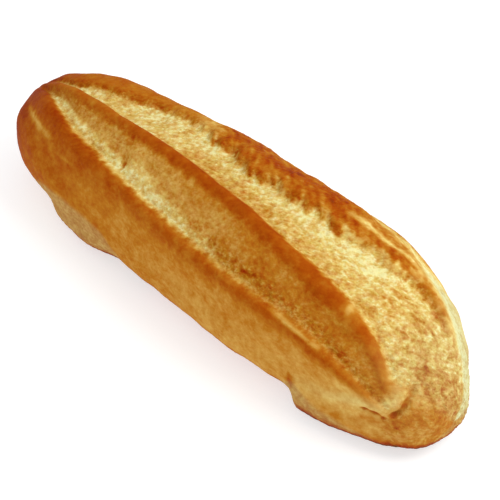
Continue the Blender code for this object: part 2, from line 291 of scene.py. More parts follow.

# The flank: olive below the front of the blunt half, the band of the second crest, which narrows towards the
# blunt end, and painted shade, a darker browning, on the part that faces down
OLIVE, OLIVE_STRENGTH, OLIVE_PLACES, OLIVE_LANES = 0.4, 0.6, (-0.1, 0.4), (1.1, 1.6)
BAND_LANE, BAND_WIDTH = 2.06, ((0, 0.24), (0.4, 0.18))
OVERHANG_SHADE, OVERHANG_SHADE_STRENGTH, OVERHANG_SHADE_TILT, OVERHANG_SHADE_LANES = 0.85, 0.5, (0.35, 0.7), (2, 2.4)

# How much of the slope from the front valley up to the third crest is pale, the pale part's edge and the
# upper part's darkening, as shares of the slope
PALE_SHARE = (
    (-1, 0.3), (-0.82, 0.3), (-0.7, 0.46), (-0.57, 0.38), (-0.45, 0.3), (-0.36, 0.28), (-0.25, 0.38),
    (-0.17, 0.35), (-0.05, 0.3), (0.1, 0.14), (0.3, 0.06), (1, 0.04),
)
PALE_EDGE, SLOPE_DARKENING = (-0.1, 0.12), ((0.5, 0), (0.9, 0.2))

# Where the third crest's dark core begins, as (place, degrees), and its edge and wobble in degrees
CORE_START = (
    (-1, -12), (-0.85, -15), (-0.74, -18.5), (-0.58, -21.5), (-0.1, -21.5), (0.1, -23), (0.2, -24.5),
    (0.3, -26), (0.42, -29), (0.53, -32), (0.6, -32), (0.66, -32), (0.72, -35), (0.8, -44), (0.86, -55),
    (1, -50),
)
CORE_EDGE, CORE_WOBBLE, CORE_LANES = (-2.5, 2.5), 30, (2.3, 2.5)
EDGE_SOFTNESS, FOURTH_SOFTNESS = 0.04, 0.045

# The top valley: its blotches, how it pales towards the torn edge, and the palest strip before that edge
VALLEY_BLOTCHES, VALLEY_FALL = ((-0.6, 0.14), (-0.2, 0.07)), 0.1
TORN_PLACES = ((-0.3, -0.15), (0.6, 0.75))
BEFORE_TEAR, BEFORE_TEAR_SHARE, BEFORE_TEAR_WIDTH = 0.19, 0.82, 0.25

# The fourth crest: the fibres of its torn edge, a tan line of painted shade on the steep wall of that edge,
# and where the crest draws back
FIBRE_SIZE, FIBRE_CONTRAST = (4 * MM, 1.1 * MM), 0.28
TORN_EDGE_PALING, TORN_EDGE_WIDTH = 0.15, 0.12
TORN_WALL_SHADE, TORN_WALL_SHADE_STRENGTH, TORN_WALL_SHADE_LANE, TORN_WALL_SHADE_WIDTH = 0.5, 0.5, 3.83, 0.05
TORN_WALL_SHADE_PLACES = ((-0.7, -0.5), (0.6, 0.75))
FOURTH_SETBACK = ((0.38, 0), (0.5, 0.08))

# The pale stripe along the fourth crest, and the golden crust behind it
STRIPE, STRIPE_STRENGTH, STRIPE_LANE, STRIPE_WIDTH = 0.14, 0.9, 4.1, 0.06
STRIPE_PLACES = ((0.36, 0.46), (0.64, 0.7))
BEHIND_STRIPE, BEHIND_STRIPE_STRENGTH, BEHIND_STRIPE_LANES = 0.46, 0.6, (4.12, 4.2)

# The back, and the pale rim along the top of its blunt half, which is cream down to a step in degrees
BACK_LANES, BACK_FLANK_LANES = (4.18, 4.36), (6, 6.4)
NEAR_RIM_PLACES, NEAR_RIM_LANES = (0.48, 0.64), (4.9, 5.2)
RIM_BROWNING, RIM_DROP = ((60, 0.04), (92, 0.42)), ((0.88, 0), (0.96, 30))
RIM_NARROWING, RIM_PLACES, RIM_STRENGTH = ((67, 0), (100, 0.28)), (0.6, 0.72), 0.9
RIM_START, RIM_START_EDGE = ((0.82, 37), (0.9, 41)), 10
RIM_STOP, RIM_STOP_EDGE = ((0.85, 76), (0.97, 100)), 25
PLACE_WOBBLE, DROP_WOBBLE, EDGE_WOBBLE = 1.5, 100, 60

# The slim end, and the blunt end beyond the crack: its browning on the flank and on the top
SLIM_END, SLIM_END_PLACES, END_WOBBLE = 0.97, (-0.95, -0.78), 0.4
CRACK_BY_ANGLE = (
    (-130, 0.6), (-108, 0.7), (-96, 0.78), (-84, 0.846), (-72, 0.895), (-58, 0.918), (-36, 0.91), (-20, 1),
    (30, 1), (65, 0.93), (100, 0.88), (180, 0.84),
)
BEYOND_CRACK = (-0.01, 0.03)
BLUNT_BROWNING = ((-60, 0.56), (-30, 0.41))

# How dark the crack is, as (degrees, share), and where across it the baked browning sets in
CRACK_DARKNESS = ((-100, 0.8), (-92, 1), (-80, 1), (-70, 0.75), (-45, 0.65), (-25, 0.5))
CRACK_BROWNING, CRACK_EDGE = 0.92, (0.3, 0.7)

# The cream wisps and darker blotches on the top near the blunt end
NEAR_TOP_PLACES, NEAR_TOP_START, NEAR_TOP_SOFTNESS, NEAR_TOP_LANES = (0.45, 0.7), 0.08, 0.08, (4.2, 4.6)
WISP_SIZE, WISP_WIDTH, WISP_PLACES, WISP_PALING = (4 * MM, 2.4 * MM), 0.1, (-0.4, 0.1), 0.24
BLOTCH_WAVE, BLOTCH_EDGE, BLOTCH_BROWNING = 2.6 * MM, (0.1, 0.4), 0.14

# Where the pale foot ends, as (place, degrees from the top), how pale it is along the length, and how much
# weaker, softer and lower it is at the hidden back
FOOT_TOP = (
    (-1, 130), (-0.8, 118), (-0.7, 100), (-0.6, 93), (-0.45, 94), (-0.35, 98), (-0.28, 110), (-0.2, 128),
    (0.42, 130), (0.5, 114), (0.56, 103), (0.62, 108), (1, 116),
)
FOOT_PALENESS = (
    (-1, 0), (-0.8, 0.6), (-0.7, 1), (-0.35, 1), (-0.2, 0.2), (0.4, 0.2), (0.52, 1), (1, 0.8),
)
FOOT_BROWNING, FOOT_STRENGTH = 0.52, 0.9
FOOT_EDGE, FOOT_WOBBLE = (-2, 4), 60
BACK_FOOT_SHARE, BACK_FOOT_DROP, BACK_FOOT_SOFTNESS = 0.5, 10, 8

# The baked edge of the base, darkened further with painted contact shade: where it ends above the table,
# in millimetres, and how dark it is
SEAT_SHADE_TOP = ((-1, 5.4), (-0.4, 5.4), (-0.1, 6.6), (0.2, 7.2), (0.55, 5.8), (0.8, 5.8), (0.94, 7), (1, 7))
SEAT_SHADE_DARKNESS = (
    (-1, 0), (-0.7, 0.3), (-0.4, 0.7), (-0.25, 0.9), (-0.05, 0.35), (0.4, 0.25), (0.56, 0.9), (1, 0.95),
)
SEAT_SHADE_FADE = 2.6 * MM

# The underside and its rim, and how high the browning's last step down to the table is
UNDERSIDE_BROWNING, UNDERSIDE_STEP = 0.66, (-1.5 * MM, 0)
BASE_RIM, BASE_RIM_STRENGTH, BASE_RIM_HEIGHT = 0.95, 0.6, 2.2 * MM
ABOVE_TABLE = (0, 1 * MM)

# The lip's browning, and how ragged the edges of the lines and patches are
LIP_BROWNING, LIP_STRENGTH, LIP_MOTTLE = 0.12, 0.65, 0.12
FINE_RAGGEDNESS, FINEST_RAGGEDNESS = 1.1, 0.7

# How dull the blunt end is along the length and from its flank to its top, and the lip and the foot
BLUNT_DULLNESS, TOP_DULLNESS = ((0.72, 0), (0.9, 0.35)), ((-55, 0.3), (-20, 1))
LIP_DULLNESS, FOOT_DULLNESS = 0.3, 0.5

# How rough and crumbly the parts are: two along the length, and the blunt end from its flank to its top
FLANK_RAWNESS, FOOT_RAWNESS, UNDERSIDE_RAWNESS = 0.14, 0.4, 0.3
VALLEY_RAWNESS, VALLEY_SHARE = 0.8, (0.2, 0.5)
SLOPE_RAWNESS, FOURTH_RAWNESS = ((-0.3, 0.5), (0.1, 0.38)), ((-0.4, 0.12), (-0.2, 0.35))
SLIM_RAWNESS, SLIM_SMOOTHS = 0.1, (-0.9, -0.8)
BLUNT_RAWNESS, BLUNT_ROUGHENS = ((-50, 0.45), (-20, 0.9)), (0.84, 0.91)

# The same from lane to lane, as (lane, softness of its edge, rawness behind it)
THIRD_RAWNESS = ((2.9, 0.1, 0.08), (THIRD_EDGE, 0.05, 0.9))
BACK_RAWNESS = ((4.45, 0.08, 0.7), (4.8, 0.08, 0.15), (5.3, 0.06, 0.7), (5.7, 0.1, 0.15))

# The crumb of the raw valleys: folds that cross each other, and grains
FOLD_SIZE, FOLD_CROSSING, GRAIN_WAVE = (1.7 * MM, 1.1 * MM), 80, 1 * MM
FOLD_SHARE, GRAIN_SHARE = 0.8, 0.8

# The material's noises, in length and width, and what crumb and grain add to the browning: the crumb's
# share darkens its pits and pales its folds, partly the crust's own tone, partly painted shade in the pits
# and painted highlight on the folds
MOTTLE_SIZE, CRUMB_TONE_AND_SHADING = (3 * MM, 3 * MM), -0.12
GRAIN_SIZE, SMOOTH_GRAIN, RAW_GRAIN, GRAIN_HEIGHT = (1.2 * MM, 0.9 * MM), 0.04, 0.27, 0.13 * MM
TINT_SIZE, TINT_HUE = (1.6 * MM, 1.2 * MM), 0.012

# The table, and the key light
TABLE_REACH, WHITE = 3, (1, 1, 1, 1)
KEY_PLACE, KEY_AIM, KEY_SIZE, KEY_COLOUR = (0.3, 0.16, 0.45), (0, 0, 0.02), 0.3, (1, 0.98, 0.94)


def curve(points, at):
    """A smooth curve through the points that never overshoots them."""
    knots, values = np.array(points, float).T
    spans = np.diff(knots)
    climbs = np.diff(values) / spans
    product, total = climbs[:-1] * climbs[1:], climbs[:-1] + climbs[1:]
    slopes = np.zeros(len(knots))
    slopes[1:-1] = np.where(product > 0, 2 * product / np.where(total == 0, 1, total), 0)
    cell = np.clip(np.searchsorted(knots, at, side="right") - 1, 0, len(spans) - 1)
    t = np.clip((at - knots[cell]) / spans[cell], 0, 1)
    ease = t * t * (3 - 2 * t)
    leave, arrive = t * (1 - t) ** 2, t * t * (1 - t)
    bend = spans[cell] * (leave * slopes[cell] - arrive * slopes[cell + 1])
    return values[cell] * (1 - ease) + values[cell + 1] * ease + bend


def sided(front, front_table, back_table, place):
    """The front table's value where front is true, and the back table's elsewhere."""
    return np.where(front, curve(front_table, place), curve(back_table, place))


def bump(x):
    return np.exp(-x * x)


def step_up(x, low, high):
    """0 below low and 1 above high, eased between them."""
    t = np.clip((x - low) / (high - low), 0, 1)
    return t * t * (3 - 2 * t)


def step_down(x, low, high):
    """1 below low and 0 above high, eased between them."""
    return 1 - step_up(x, low, high)


def within(x, rise, fall):
    """1 between a step up and a step down, and 0 beyond them."""
    return step_up(x, *rise) * step_down(x, *fall)


def blend(a, b, share):
    return a * (1 - share) + b * share


def end_rounding(place, slim_power, blunt_power):
    """1 along the middle, falling to 0 at both ends."""
    power = np.where(place < 0, slim_power, blunt_power)
    return np.clip(1 - np.abs(place) ** power, 0, 1) ** (1 / power)


def section(place, degrees, length):
    """Points of the plain body, without its relief, for arrays of places and angles."""
    angle = np.radians(degrees)
    front = angle < 0
    upper = np.cos(angle) > 0
    side_end = end_rounding(place, SLIM_END_SIDE, BLUNT_END_SIDE)
    top_end = end_rounding(place, SLIM_END_TOP, BLUNT_END_TOP)
    centre = curve(WIDEST_HEIGHT, place) * MM
    crown = curve(CROWN_HEIGHT, place) * MM
    half_width = sided(front, FRONT_HALF_WIDTH, BACK_HALF_WIDTH, place) * MM
    base_share = sided(front, FRONT_BASE_SHARE, BACK_BASE_SHARE, place)
    under = centre * (1 - base_share**LOWER_SECTION) ** (-1 / LOWER_SECTION)
    tall = np.where(upper, (crown - centre) * top_end, under * side_end)
    wide = half_width * side_end
    power = np.where(upper, UPPER_SECTION, LOWER_SECTION)
    inverse = (np.abs(np.sin(angle)) / wide) ** power + (np.abs(np.cos(angle)) / tall) ** power
    radius = inverse ** (-1 / power)
    return np.stack([place * length / 2, radius * np.sin(angle), centre + radius * np.cos(angle)], axis=-1)


def ring_places(count, length):
    """Places of the rings, evenly spaced over the crown's own curve from end to end."""
    fine = -np.cos(np.linspace(0, np.pi, RING_FINENESS * count))[1:-1]
    profile = section(fine, np.zeros_like(fine), length)
    walked = np.concatenate([[0], np.cumsum(np.linalg.norm(np.diff(profile, axis=0), axis=1))])
    return np.interp(np.linspace(0, walked[-1], count + 2)[1:-1], walked, fine)


def lanes_at(place, degrees):
    """The lane of each angle at one place."""
    knots = [(lane, float(curve(path, np.array(place)))) for lane, path in LANE_PATHS]
    lanes = np.linspace(0, LANES, LANE_FINENESS * LANES + 1)
    angles = curve(((0, -UNDERSIDE), *knots, (LANES, UNDERSIDE)), lanes)
    return np.interp(degrees, angles, lanes)


def normals_of(points):
    """Outward normals of a grid of rings that closes round the section."""
    along = np.gradient(points, axis=0)
    around = np.roll(points, -1, axis=1) - np.roll(points, 1, axis=1)
    normals = np.cross(along, around)
    return normals / np.linalg.norm(normals, axis=-1, keepdims=True)


def noise_at(points, wave, seed):
    """Smooth noise, about -1 to 1, at each point."""
    offset = Vector((seed, 2 * seed, 3 * seed))
    flat = points.reshape(-1, 3) / wave
    values = [noise.noise(Vector(point) + offset) for point in flat]
    return np.array(values).reshape(points.shape[:-1])


class Dough:
    """The body's grid and what the crust's fields are worked out from."""

    def __init__(self, sizes):
        self.length = sizes.length
        places = ring_places(sizes.rings, sizes.length)
        share = np.arange(sizes.steps) / sizes.steps
        knots, angles = np.array(SPACING, float).T
        degrees = np.interp(share, knots, angles)
        self.place = np.repeat(places[:, None], len(degrees), axis=1)
        self.degrees = np.repeat(degrees[None, :], len(places), axis=0)
        self.body = section(self.place, self.degrees, sizes.length)
        self.height = self.body[..., 2]
        self.normals = normals_of(self.body)
        self.add_lanes(np.array([lanes_at(place, degrees) for place in places]))

    def add_lanes(self, lane):
        """The lanes with their torn edge, with its fibres too, and with the wobble of the browning's edges."""
        splits = self.streaks(SPLIT_SIZE, FIBRE_LEAN, SEEDS["splits"])
        splits = splits * curve(SPLIT_STRENGTH, self.place)
        near_tear = bump((lane - FOURTH_EDGE) / TEAR_SPREAD)
        self.torn = lane + near_tear * (self.teeth() + SPLIT_REACH * splits)
        self.fibred = self.torn + near_tear * FIBRE_REACH * splits
        self.broad = noise_at(self.body, BROAD_WAVE, SEEDS["broad"])
        self.fine = noise_at(self.body, FINE_WAVE, SEEDS["fine"])
        self.finest = noise_at(self.body, FINEST_WAVE, SEEDS["finest"])
        self.wobble = BROAD_WOBBLE * self.broad + FINE_WOBBLE * self.fine + FINEST_WOBBLE * self.finest
        self.wavering = self.fibred + self.wobble

    def teeth(self):
        """How far the fourth crest's front edge is torn to and fro, in lanes."""
        along = np.stack([self.body[..., 0], 0 * self.place, 0 * self.place], axis=-1)
        waves = enumerate(TEAR_WAVES, start=SEEDS["tear"])
        teeth = sum(noise_at(along, wave, seed) for seed, wave in waves)
        return TEAR_REACH * teeth * curve(TEAR_STRENGTH, self.place)

    def streaks(self, size, degrees, seed):
        """Noise in streaks of that length and width that lean by those degrees from +X towards the back."""
        length, width = size
        x, y, z = np.moveaxis(self.body, -1, 0)
        lean = math.radians(degrees)
        forward = (x * math.cos(lean) + y * math.sin(lean)) / length
        sideways = (y * math.cos(lean) - x * math.sin(lean)) / width
        return noise_at(np.stack([forward, sideways, z / width], axis=-1), 1, seed)

    def mottled(self, browning, broad=0.0, fine=0.0):
        """The browning with those shares of the broad and the fine noise."""
        return browning + broad * self.broad + fine * self.fine


def nozzle_relief(dough):
    """The crests and valleys that the nozzle left, deeper and shallower along the length."""
    lift = curve(SECTION_RELIEF, dough.torn) * curve(RELIEF_STRENGTH, dough.place)
    front, top = curve(FRONT_VALLEY, dough.place), curve(TOP_VALLEY, dough.place)
    depth = np.where(dough.torn < THIRD_CREST, front, np.where(dough.torn < FOURTH_CREST, top, 1))
    return np.where(lift < 0, lift * depth, lift) * MM


def foot_relief(dough):
    reach = sided(dough.body[..., 1] < 0, FRONT_FOOT, BACK_FOOT, dough.place)
    return reach * MM * bump((dough.height - FOOT_HEIGHT) / FOOT_SPREAD)


def along_line(dough, path, width):
    """1 along the line through (place, degrees) points, falling to 0 beside it and towards its ends."""
    places, degrees = np.array(path, float).T
    share = np.linspace(0, 1, LINE_POINTS)
    knots = np.linspace(0, 1, len(path))
    line = section(np.interp(share, knots, places), np.interp(share, knots, degrees), dough.length)
    nearness = np.zeros(dough.place.shape)
    for point, depth in zip(line, np.sqrt(np.sin(np.pi * share))):
        distance = np.linalg.norm(dough.body - point, axis=-1)
        nearness = np.maximum(nearness, depth * bump(distance / width))
    return nearness


def patch(dough, place, degrees, radius):
    """1 at a spot on the crust, falling to 0 beyond the radius in millimetres."""
    centre = section(np.array(float(place)), np.array(float(degrees)), dough.length)
    return bump(np.linalg.norm(dough.body - centre, axis=-1) / (radius * MM))


def lump_relief(dough):
    lumps = ((height, patch(dough, *spot)) for *spot, height in LUMPS)
    return sum(height * MM * lump for height, lump in lumps)


def crust_relief(dough):
    swell_wave, swell_height = SWELL
    wrinkle_wave, wrinkle_height = WRINKLE
    swell = swell_height * noise_at(dough.body, swell_wave, SEEDS["swell"])
    return swell + wrinkle_height * noise_at(dough.body, wrinkle_wave, SEEDS["wrinkle"])


def cracked_share(dough):
    """1 in the ragged crack and 0 beside it."""
    ragged = CRACK_EVENNESS + CRACK_RAGGEDNESS * noise_at(dough.body, CRACK_WAVE, SEEDS["crack"])
    return along_line(dough, CRACK, CRACK_WIDTH) * np.clip(ragged, *CRACK_LIMITS)


def edge(lane, at, softness):
    """0 in front of a line along the crust and 1 behind it."""
    return step_up(lane, at - softness, at + softness)


def slope_share(lane):
    """0 at the front valley and 1 on the third crest."""
    return np.clip((lane - SECOND_EDGE) / (THIRD_CREST - SECOND_EDGE), 0, 1)


def flank_browning(dough):
    """The front flank and the second crest, with painted shade where the flank faces down, and the tone that
    the other parts are laid over.
    """
    place, lane = dough.place, dough.fibred
    brown = dough.mottled(curve(FLANK_BROWNING, place), broad=0.05, fine=0.03)
    olive = step_up(place, *OLIVE_PLACES) * step_down(lane, *OLIVE_LANES)
    brown = blend(brown, OLIVE, OLIVE_STRENGTH * olive)
    band = bump((dough.wavering - BAND_LANE) / curve(BAND_WIDTH, place))
    brown = blend(brown, curve(SECOND_BROWNING, place), band)
    # Painted shade: darker browning where the flank's surface faces down
    shade_facing_down = step_up(-dough.normals[..., 2], *OVERHANG_SHADE_TILT) * step_down(lane, *OVERHANG_SHADE_LANES)
    return blend(brown, OVERHANG_SHADE, OVERHANG_SHADE_STRENGTH * shade_facing_down)


def brown_slope(dough, brown):
    """The pale front valley, the slope up from it and the dark core of the third crest."""
    place, share = dough.place, slope_share(dough.wavering)
    pale_share = curve(PALE_SHARE, place)
    pale_start, pale_end = PALE_EDGE
    slope = dough.mottled(curve(SLOPE_BROWNING, place), broad=0.08, fine=0.05)
    valley = curve(FRONT_VALLEY_BROWNING, place)
    slope = blend(valley, slope, step_up(share, pale_share + pale_start, pale_share + pale_end))
    third = dough.mottled(curve(THIRD_BROWNING, place), fine=0.05)
    slope = blend(slope, third, curve(SLOPE_DARKENING, share))
    brown = blend(brown, slope, edge(dough.wavering, SECOND_EDGE, EDGE_SOFTNESS))
    beside_core = dough.degrees + CORE_WOBBLE * dough.wobble - curve(CORE_START, place)
    return blend(brown, third, step_up(beside_core, *CORE_EDGE) * step_up(dough.fibred, *CORE_LANES))


def brown_top_valley(dough, brown):
    """The wide pale valley between the third crest and the torn edge."""
    across = np.clip((dough.fibred - THIRD_EDGE) / (FOURTH_EDGE - THIRD_EDGE), 0, 1)
    valley = curve(TOP_VALLEY_BROWNING, dough.place) + VALLEY_FALL * (0.5 - across)
    valley = dough.mottled(valley, broad=curve(VALLEY_BLOTCHES, dough.place))
    before_tear = bump((across - BEFORE_TEAR_SHARE) / BEFORE_TEAR_WIDTH)
    valley -= BEFORE_TEAR * within(dough.place, *TORN_PLACES) * before_tear
    return blend(brown, valley, edge(dough.wavering, THIRD_EDGE, EDGE_SOFTNESS))


def brown_fourth_crest(dough, brown):
    """The fourth crest, with the brown fibres of its torn edge and painted shade on that edge's steep wall."""
    place = dough.place
    fibres = dough.streaks(FIBRE_SIZE, FIBRE_LEAN, SEEDS["fibres"])
    at_edge = bump((dough.fibred - FOURTH_EDGE) / TORN_EDGE_WIDTH)
    fourth = dough.mottled(curve(FOURTH_BROWNING, place), broad=0.06, fine=0.04)
    fourth += within(place, *TORN_PLACES) * (FIBRE_CONTRAST * fibres - TORN_EDGE_PALING * at_edge)
    # Painted shade: the steep wall of the torn edge is browned so that its shade reads warm
    torn_wall_shade = within(place, *TORN_WALL_SHADE_PLACES) * bump((dough.torn - TORN_WALL_SHADE_LANE) / TORN_WALL_SHADE_WIDTH)
    brown = blend(brown, TORN_WALL_SHADE, TORN_WALL_SHADE_STRENGTH * torn_wall_shade)
    front = FOURTH_EDGE + curve(FOURTH_SETBACK, place)
    return blend(brown, fourth, edge(dough.wavering, front, FOURTH_SOFTNESS))


def brown_stripe(dough, brown):
    """The pale stripe along the fourth crest of the blunt half, and the golden crust behind it."""
    stripe = within(dough.place, *STRIPE_PLACES)
    on_stripe = bump((dough.wavering - STRIPE_LANE) / STRIPE_WIDTH)
    brown = blend(brown, STRIPE, STRIPE_STRENGTH * stripe * on_stripe)
    behind = step_up(dough.fibred, *BEHIND_STRIPE_LANES)
    return blend(brown, BEHIND_STRIPE, BEHIND_STRIPE_STRENGTH * stripe * behind)


def brown_back(dough, brown):
    """The hidden back, and the pale rim along its top."""
    lane = dough.fibred
    near_rim = step_up(rim_place(dough, dough.wobble), *NEAR_RIM_PLACES) * step_down(lane, *NEAR_RIM_LANES)
    back = blend(curve(BACK_BROWNING, dough.wavering), rim_browning(dough), near_rim)
    brown = blend(brown, back, step_up(lane, *BACK_LANES))
    return blend(brown, curve(FLANK_BROWNING, dough.place), step_up(lane, *BACK_FLANK_LANES))


def brown_ends(dough, brown):
    """The dark slim end, and the blunt end beyond the crack."""
    place = dough.place + END_WOBBLE * dough.wobble
    brown = blend(brown, SLIM_END, step_down(place, *SLIM_END_PLACES))
    beyond = step_up(place - curve(CRACK_BY_ANGLE, dough.degrees), *BEYOND_CRACK)
    blunt = dough.mottled(curve(BLUNT_BROWNING, dough.degrees), broad=0.16, fine=0.1)
    return blend(brown, blunt, beyond)


def brown_near_top(dough, brown):
    """The cream wisps and darker blotches on the top near the blunt end."""
    lane = dough.fibred
    near_top = step_up(dough.place, *NEAR_TOP_PLACES) * step_down(lane, *NEAR_TOP_LANES)
    near_top *= edge(lane, THIRD_EDGE + NEAR_TOP_START, NEAR_TOP_SOFTNESS)
    wisps = bump(dough.streaks(WISP_SIZE, VALLEY_LEAN, SEEDS["wisps"]) / WISP_WIDTH)
    wisps *= step_up(dough.broad, *WISP_PLACES)
    blotches = step_up(noise_at(dough.body, BLOTCH_WAVE, SEEDS["blotches"]), *BLOTCH_EDGE)
    return brown + near_top * (BLOTCH_BROWNING * blotches - WISP_PALING * wisps)


def brown_rim_and_foot(dough, brown):
    """The pale rim behind the top, and the pale foot."""
    brown = blend(brown, rim_browning(dough), RIM_STRENGTH * rim_share(dough, dough.wobble))
    foot = dough.mottled(FOOT_BROWNING, broad=0.09)
    return blend(brown, foot, FOOT_STRENGTH * foot_share(dough, dough.wobble))


def brown_base(dough, brown):
    """The underside, its browner rim, and the baked edge above the table, darkened with painted contact shade.
    """
    underside = dough.mottled(UNDERSIDE_BROWNING, broad=0.12, fine=0.06)
    brown = blend(brown, underside, step_down(dough.height, *UNDERSIDE_STEP))
    brown = blend(brown, BASE_RIM, BASE_RIM_STRENGTH * bump(dough.height / BASE_RIM_HEIGHT))
    # Painted contact shade: the baked edge just above the table is darkened towards the scorched colour
    return blend(brown, SCORCHED_AND_SHADED, seat_shade_share(dough))


def brown_marks(dough, brown):
    """The pale lip, the thin lines and the patches, with ragged edges."""
    lip = dough.mottled(LIP_BROWNING, fine=LIP_MOTTLE)
    brown = blend(brown, lip, LIP_STRENGTH * along_line(dough, LIP, LIP_WIDTH))
    ragged = np.exp(FINE_RAGGEDNESS * dough.fine + FINEST_RAGGEDNESS * dough.finest)
    for browning, strength, width, path in LINES:
        brown = blend(brown, browning, strength * along_line(dough, path, width * MM) ** ragged)
    for *spot, browning, strength in PATCHES:
        brown = blend(brown, browning, strength * patch(dough, *spot) ** ragged)
    return brown


def browning_of(dough):
    """How brown the crust is: each part is laid over the ones before it."""
    layers = (
        brown_slope, brown_top_valley, brown_fourth_crest, brown_stripe, brown_back, brown_ends,
        brown_near_top, brown_rim_and_foot, brown_base, brown_marks,
    )
    brown = flank_browning(dough)
    for layer in layers:
        brown = layer(dough, brown)
    return brown


def rim_place(dough, wobble):
    """The place, set back towards the slim end on the back, so that the pale rim narrows there."""
    return dough.place - curve(RIM_NARROWING, dough.degrees) + PLACE_WOBBLE * wobble


def rim_browning(dough):
    """Cream along the top of the pale rim and golden farther down the back, lower at the blunt end."""
    down = dough.degrees + DROP_WOBBLE * dough.wobble - curve(RIM_DROP, dough.place)
    return curve(RIM_BROWNING, down)


def rim_share(dough, wobble):
    """1 on the pale rim behind the top of the blunt half, falling to 0 round it."""
    start = curve(RIM_START, dough.place) - EDGE_WOBBLE * wobble
    stop = curve(RIM_STOP, dough.place) - EDGE_WOBBLE * wobble
    inside = within(dough.degrees, (start, start + RIM_START_EDGE), (stop, stop + RIM_STOP_EDGE))
    return step_up(rim_place(dough, wobble), *RIM_PLACES) * inside


def foot_share(dough, wobble):
    """How pale the foot is, falling to 0 above a wavering edge, and weaker at the hidden back."""
    hidden = step_up(dough.degrees, 0, 1)
    top = curve(FOOT_TOP, dough.place) + BACK_FOOT_DROP * hidden
    below = np.abs(dough.degrees) + FOOT_WOBBLE * wobble - top
    low, high = FOOT_EDGE
    paleness = curve(FOOT_PALENESS, dough.place) * blend(1, BACK_FOOT_SHARE, hidden)
    above_table = step_up(dough.height, *ABOVE_TABLE)
    return paleness * above_table * step_up(below, low, high + BACK_FOOT_SOFTNESS * hidden)


def seat_shade_share(dough):
    """How dark the baked edge of the base is, deepened with painted contact shade, falling to 0 above it."""
    top = curve(SEAT_SHADE_TOP, dough.place) * MM
    low = within(dough.height, ABOVE_TABLE, (top - SEAT_SHADE_FADE, top))
    return curve(SEAT_SHADE_DARKNESS, dough.place) * low


def dullness_of(dough):
    """How dull and yellow the crust is: most on the pale rim, less on the blunt end, the lip and the foot."""
    blunt = curve(BLUNT_DULLNESS, dough.place) * curve(TOP_DULLNESS, dough.degrees)
    lip = LIP_DULLNESS * along_line(dough, LIP, LIP_WIDTH)
    foot = FOOT_DULLNESS * foot_share(dough, 0)
    return np.max([rim_share(dough, 0), lip, blunt, foot], axis=0) * (1 - seat_shade_share(dough))


def rawness_of(dough):
    """How rough and crumbly the crust is: the valleys opened as the dough rose, the crests stayed smooth."""
    place, lane = dough.place, dough.torn
    up_slope = step_up(slope_share(lane), *VALLEY_SHARE)
    slope_edge = (SECOND_EDGE, 0.06, blend(VALLEY_RAWNESS, curve(SLOPE_RAWNESS, place), up_slope))
    fourth_edge = (FOURTH_EDGE + 0.05, 0.06, curve(FOURTH_RAWNESS, place))
    raw = np.full(place.shape, FLANK_RAWNESS)
    for at, softness, rawness in (slope_edge, *THIRD_RAWNESS, fourth_edge, *BACK_RAWNESS):
        raw = blend(raw, rawness, edge(lane, at, softness))
    raw = blend(raw, SLIM_RAWNESS, step_down(place, *SLIM_SMOOTHS))
    raw = blend(raw, FOOT_RAWNESS, foot_share(dough, 0))
    raw = blend(raw, curve(BLUNT_RAWNESS, dough.degrees), step_up(place, *BLUNT_ROUGHENS))
    return blend(UNDERSIDE_RAWNESS, raw, step_up(dough.height, *UNDERSIDE_STEP))


def crumb_of(dough):
    """The torn and pitted crumb of the raw valleys, from -1 in its pits to 1 on its folds."""
    folds = 1 - 2 * np.abs(dough.streaks(FOLD_SIZE, VALLEY_LEAN, SEEDS["folds"]))
    crossing = VALLEY_LEAN + FOLD_CROSSING
    cross_folds = 1 - 2 * np.abs(dough.streaks(FOLD_SIZE, crossing, SEEDS["cross folds"]))
    grains = noise_at(dough.body, GRAIN_WAVE, SEEDS["grains"])
    return np.clip(FOLD_SHARE * (2 * folds * cross_folds - 1) + GRAIN_SHARE * grains, -1, 1)


def crust_grid(sizes):
    """The crust's points, its two end points, and its fields."""
    dough = Dough(sizes)
    rawness, crumb, cracked = rawness_of(dough), crumb_of(dough), cracked_share(dough)
    lift = nozzle_relief(dough) + foot_relief(dough) - CRACK_DEPTH * cracked
    lift += lump_relief(dough) + crust_relief(dough) + LIP_HEIGHT * along_line(dough, LIP, LIP_WIDTH)
    lift += sizes.crumb_height * rawness * (crumb - 1) / 2
    points = dough.body + dough.normals * lift[..., None]
    ends = [Vector(points[end].mean(axis=0)) for end in (0, -1)]
    ends[0].x, ends[1].x = -sizes.length / 2, sizes.length / 2
    baked = CRACK_BROWNING * curve(CRACK_DARKNESS, dough.degrees)
    browning = blend(browning_of(dough), baked, step_up(cracked, *CRACK_EDGE))
    fields = {"browning": browning, "rawness": rawness, "crumb": crumb, "dullness": dullness_of(dough)}
    return points, ends, fields


def fit_inside(vertices, box):
    """The vertices, drawn in by the hair's breadth by which their finer relief stands out of the box."""
    low, high = np.array(box)
    shares = np.minimum(high / vertices.max(axis=0), 1)
    shares[:2] = np.minimum(shares[:2], low[:2] / vertices[:, :2].min(axis=0))
    return vertices * shares


